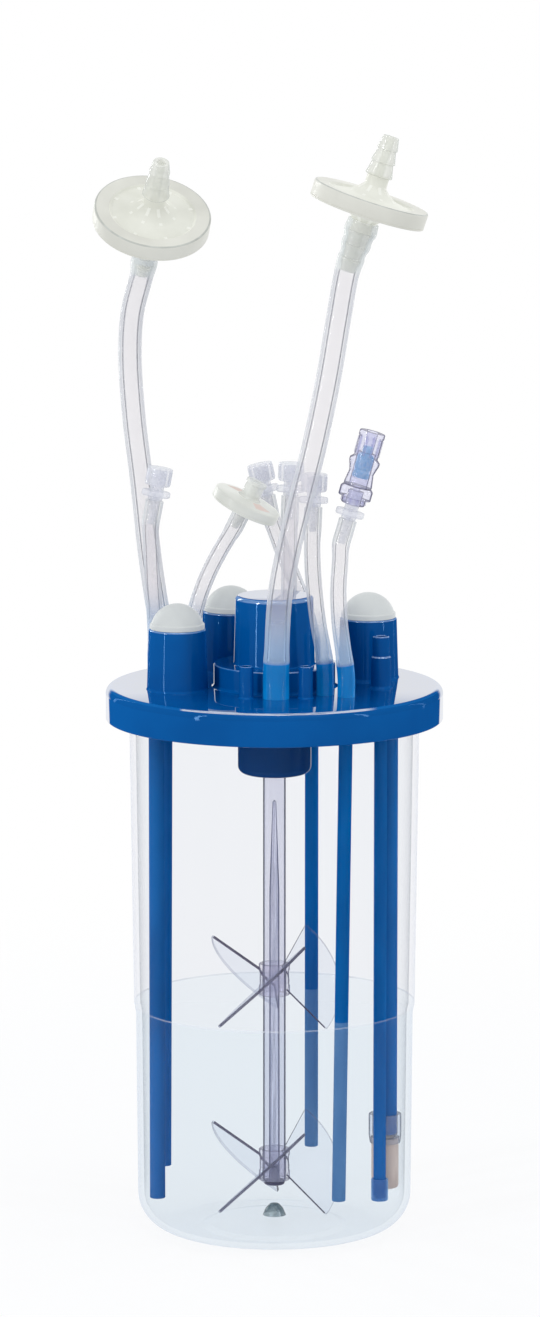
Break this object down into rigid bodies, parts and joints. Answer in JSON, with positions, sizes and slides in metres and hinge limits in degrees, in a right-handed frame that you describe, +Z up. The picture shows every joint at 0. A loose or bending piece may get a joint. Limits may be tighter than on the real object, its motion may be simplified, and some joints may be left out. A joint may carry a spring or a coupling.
{
  "type": "bench bioreactor",
  "caption": "Clear stirred culture cup with a moulded head plate, magnetically driven pitched-blade stirrer, dip tubes, vent filters and sampling tubes.",
  "frame": {"origin": "middle of the foot ring, on the bench", "axes": "+Z up along the stirrer shaft, -Y towards the front, +X to the right"},
  "size_m": [0.1457, 0.142, 0.4694],
  "materials": {
    "clear_cup": "clear moulded plastic, polished",
    "moulded_blue": "glossy moulded plastic",
    "deep_blue": "glossy moulded plastic",
    "cap_white": "translucent off-white moulded plastic",
    "seal_rubber": "moulded rubber",
    "bearing_steel": "ground steel",
    "tinted_clear": "clear plastic with a faint lilac tint",
    "plug_grey": "moulded plastic",
    "rotor_white": "moulded plastic",
    "magnet_metal": "plated",
    "tube_blue": "extruded plastic, satin",
    "sparger_clear": "clear moulded plastic",
    "collar_clear": "clear moulded plastic",
    "probe_membrane": "matt pinkish brown",
    "hose_clear": "clear soft tubing",
    "filter_shell": "milky moulded plastic",
    "membrane_white": "matt white film",
    "luer_clear": "clear moulded plastic",
    "valve_tint": "clear plastic with a purple tint",
    "bung_blue": "light blue moulded rubber"
  },
  "bodies": {
    "cup_and_plate": {"vessel": "clear_cup", "seal_ring": "seal_rubber", "head_plate": "moulded_blue", "bearing_housing": "deep_blue", "lower_bearing": "bearing_steel", "upper_bearing": "bearing_steel", "dip_tube_front_left": "tube_blue", "dip_tube_left": "tube_blue", "dip_tube_back": "tube_blue", "dip_tube_front": "tube_blue", "sparger_tube": "tube_blue", "sparger_tip": "sparger_clear", "probe_sleeve": "tube_blue", "probe_collar": "collar_clear", "probe_tip": "probe_membrane", "sterile_filter_top": "filter_shell", "sterile_filter_bottom": "filter_shell", "sterile_membrane": "membrane_white", "luer_fitting_valve": "luer_clear", "valve_base": "valve_tint", "valve_body": "valve_tint", "vent_tube_left": "hose_clear", "vent_tube_right": "hose_clear", "sterile_tube": "hose_clear", "sample_tube_left": "hose_clear", "sample_tube_back_left": "hose_clear", "sample_tube_back": "hose_clear", "sample_tube_middle": "hose_clear", "valve_tube": "hose_clear", "vent_filter_top_left": "filter_shell", "vent_filter_bottom_left": "filter_shell", "vent_membrane_left": "membrane_white", "vent_filter_top_right": "filter_shell", "vent_filter_bottom_right": "filter_shell", "vent_membrane_right": "membrane_white", "luer_fitting_left": "luer_clear", "luer_fitting_back_left": "luer_clear", "luer_fitting_back": "luer_clear", "luer_fitting_middle": "luer_clear"},
    "stirrer": {"drive_shaft": "tinted_clear", "shaft_end_plug": "plug_grey", "magnet_rotor": "rotor_white", "drive_magnet_1": "magnet_metal", "drive_magnet_2": "magnet_metal", "drive_magnet_3": "magnet_metal", "drive_magnet_4": "magnet_metal", "lower_impeller": "tinted_clear", "upper_impeller": "tinted_clear"},
    "front_port_cap": {"port_cap_front": "cap_white"},
    "back_port_cap": {"port_cap_back": "cap_white"},
    "right_port_cap": {"port_cap_right": "cap_white"},
    "left_luer_cap": {"luer_cap_left": "luer_clear"},
    "back_left_luer_cap": {"luer_cap_back_left": "luer_clear"},
    "back_luer_cap": {"luer_cap_back": "luer_clear"},
    "middle_luer_cap": {"luer_cap_middle": "luer_clear"},
    "bung": {"valve_bung": "bung_blue"}
  },
  "joints": [
    {"name": "stirrer_spin", "type": "hinge", "parent": "cup_and_plate", "child": "stirrer", "pos_m": [0, 0, 0.1], "axis": [0, 0, 1], "continuous": true},
    {"name": "front_port_cap_pull", "type": "slide", "parent": "cup_and_plate", "child": "front_port_cap", "axis": [0, 0, 1], "range_m": [0, 0.016]},
    {"name": "back_port_cap_pull", "type": "slide", "parent": "cup_and_plate", "child": "back_port_cap", "axis": [0, 0, 1], "range_m": [0, 0.016]},
    {"name": "right_port_cap_pull", "type": "slide", "parent": "cup_and_plate", "child": "right_port_cap", "axis": [0, 0, 1], "range_m": [0, 0.016]},
    {"name": "left_luer_cap_off", "type": "slide", "parent": "cup_and_plate", "child": "left_luer_cap", "axis": [0.174, 0, 0.9848], "range_m": [0, 0.009]},
    {"name": "back_left_luer_cap_off", "type": "slide", "parent": "cup_and_plate", "child": "back_left_luer_cap", "axis": [-0.2101, 0, 0.9777], "range_m": [0, 0.009]},
    {"name": "back_luer_cap_off", "type": "slide", "parent": "cup_and_plate", "child": "back_luer_cap", "axis": [0.03, 0, 0.9996], "range_m": [0, 0.009]},
    {"name": "middle_luer_cap_off", "type": "slide", "parent": "cup_and_plate", "child": "middle_luer_cap", "axis": [0.0399, 0.0399, 0.9984], "range_m": [0, 0.009]},
    {"name": "bung_press", "type": "slide", "parent": "cup_and_plate", "child": "bung", "axis": [-0.269, 0, -0.9631], "range_m": [0, 0.003], "stiffness_N_per_m": 600}
  ]
}
